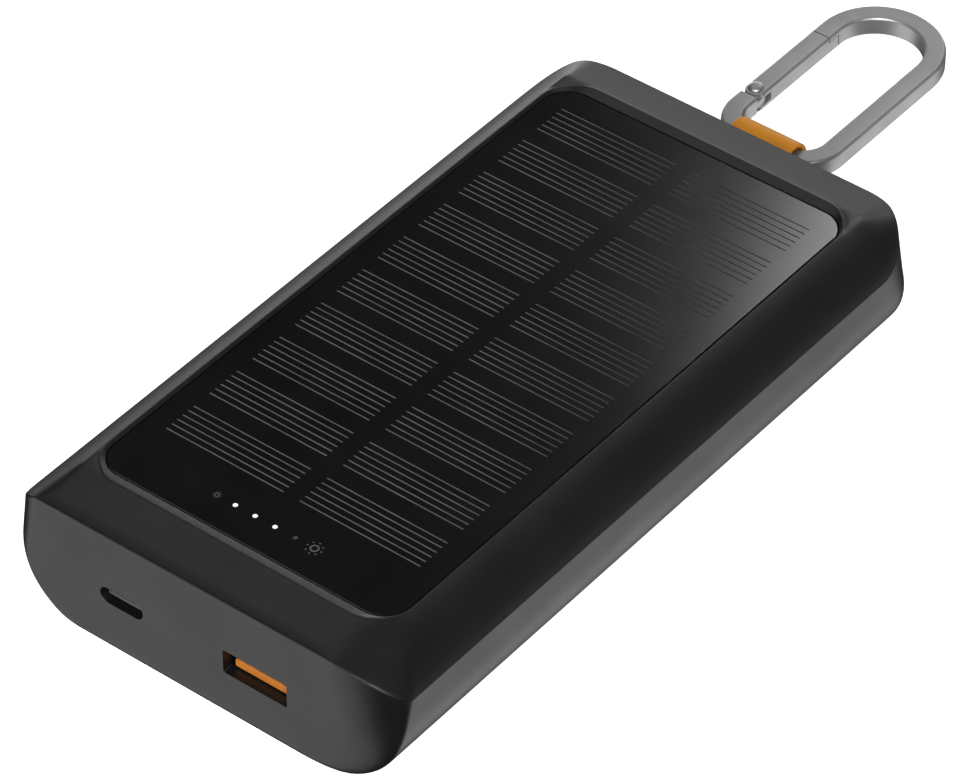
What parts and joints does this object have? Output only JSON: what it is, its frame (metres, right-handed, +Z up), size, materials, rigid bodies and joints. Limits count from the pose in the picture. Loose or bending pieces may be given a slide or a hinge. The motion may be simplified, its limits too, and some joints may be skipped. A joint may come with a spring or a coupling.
{
  "type": "solar phone charger",
  "caption": "Slab-shaped solar power bank with USB-A and USB-C outlets in one end and an orange strap loop with a small gated carabiner at the other.",
  "frame": {"origin": "centre of the flat underside of the lower shell", "axes": "+Z up out of the solar panel, +Y from the port end towards the carabiner, +X to the right seen from the port end"},
  "size_m": [0.0768, 0.1926, 0.0275],
  "materials": {
    "soft_touch_shell": "soft-touch coated dark grey plastic, satin, faint fine grain",
    "seal_rubber": "black silicone rubber, matt",
    "panel_front_sheet": "glossy black laminated front sheet with fine grey cell lines",
    "silicon_cells": "dark monocrystalline silicon",
    "panel_backing": "black fibreglass board",
    "adhesive_tape": "white double-sided foam tape",
    "indicator_lens": "lit white light point",
    "indicator_lens_unlit": "unlit light point",
    "connector_metal": "black-nickel plated steel",
    "connector_tongue_orange": "moulded orange plastic",
    "connector_tongue_black": "moulded black plastic",
    "circuit_board": "green solder mask",
    "chip_epoxy": "black moulded epoxy",
    "ferrite": "pressed grey ferrite",
    "component_can": "bare drawn can",
    "button_plastic": "soft-touch dark grey",
    "screw_steel": "zinc plated",
    "battery_foil": "satin laminated foil pouch",
    "foam": "black open-cell foam",
    "wire_red": "red silicone insulation",
    "wire_black": "black silicone insulation",
    "strap_orange": "smooth orange elastomer, satin",
    "carabiner_aluminium": "satin anodised grey",
    "rivet_steel": "pressed steel"
  },
  "bodies": {
    "housing": {"upper_shell": "soft_touch_shell", "lower_shell": "soft_touch_shell", "shell_gasket": "seal_rubber", "panel_window": "panel_front_sheet", "cell_string_left": "silicon_cells", "cell_string_right": "silicon_cells", "solar_backing_board": "panel_backing", "panel_adhesive_ring": "adhesive_tape", "indicator_led_1": "indicator_lens", "indicator_led_2": "indicator_lens", "indicator_led_3": "indicator_lens", "indicator_led_4": "indicator_lens_unlit", "usb_a_shell": "connector_metal", "usb_c_shell": "connector_metal", "usb_a_tongue": "connector_tongue_orange", "usb_c_tongue": "connector_tongue_black", "main_pcb": "circuit_board", "charge_controller_chip": "chip_epoxy", "boost_converter_chip": "chip_epoxy", "battery_protection_chip": "chip_epoxy", "boost_inductor": "ferrite", "bulk_capacitor_1": "component_can", "bulk_capacitor_2": "component_can", "switch_body": "component_can", "board_screw_1": "screw_steel", "board_screw_2": "screw_steel", "battery_cell_lower": "battery_foil", "battery_cell_upper": "battery_foil", "battery_foam_pad": "foam", "battery_tab_board": "circuit_board", "battery_thermistor": "chip_epoxy", "battery_lead_positive": "wire_red", "battery_lead_negative": "wire_black", "solar_lead_positive": "wire_red", "solar_lead_negative": "wire_black", "case_screw_1": "screw_steel", "case_screw_2": "screw_steel", "case_screw_3": "screw_steel", "case_screw_4": "screw_steel", "strap_grommet": "seal_rubber", "strap_anchor_pin": "screw_steel", "strap_loop": "strap_orange"},
    "power_button": {"power_button": "button_plastic"},
    "switch_plunger": {"switch_plunger": "connector_tongue_black"},
    "carabiner": {"carabiner_frame": "carabiner_aluminium", "gate_rivet": "rivet_steel"},
    "gate": {"carabiner_gate": "carabiner_aluminium", "gate_spring": "rivet_steel"}
  },
  "joints": [
    {"name": "button_press", "type": "slide", "parent": "housing", "child": "power_button", "axis": [1, 0, 0], "range_m": [0, 0.00035], "stiffness_N_per_m": 1000},
    {"name": "plunger_press", "type": "slide", "parent": "housing", "child": "switch_plunger", "axis": [1, 0, 0], "range_m": [0, 0.00035]},
    {"name": "carabiner_swing", "type": "hinge", "parent": "housing", "child": "carabiner", "pos_m": [0, 0.0775, 0.0163], "axis": [1, 0, 0], "range_deg": [-100, 105]},
    {"name": "gate_open", "type": "hinge", "parent": "carabiner", "child": "gate", "pos_m": [-0.00985, 0.0884, 0.0163], "axis": [0, 0, 1], "range_deg": [-32, 0], "stiffness_Nm_per_rad": 0.03, "springref_deg": 20.05}
  ],
  "couplings": [
    {"joint": "plunger_press", "follows": "button_press", "ratio": 1}
  ]
}
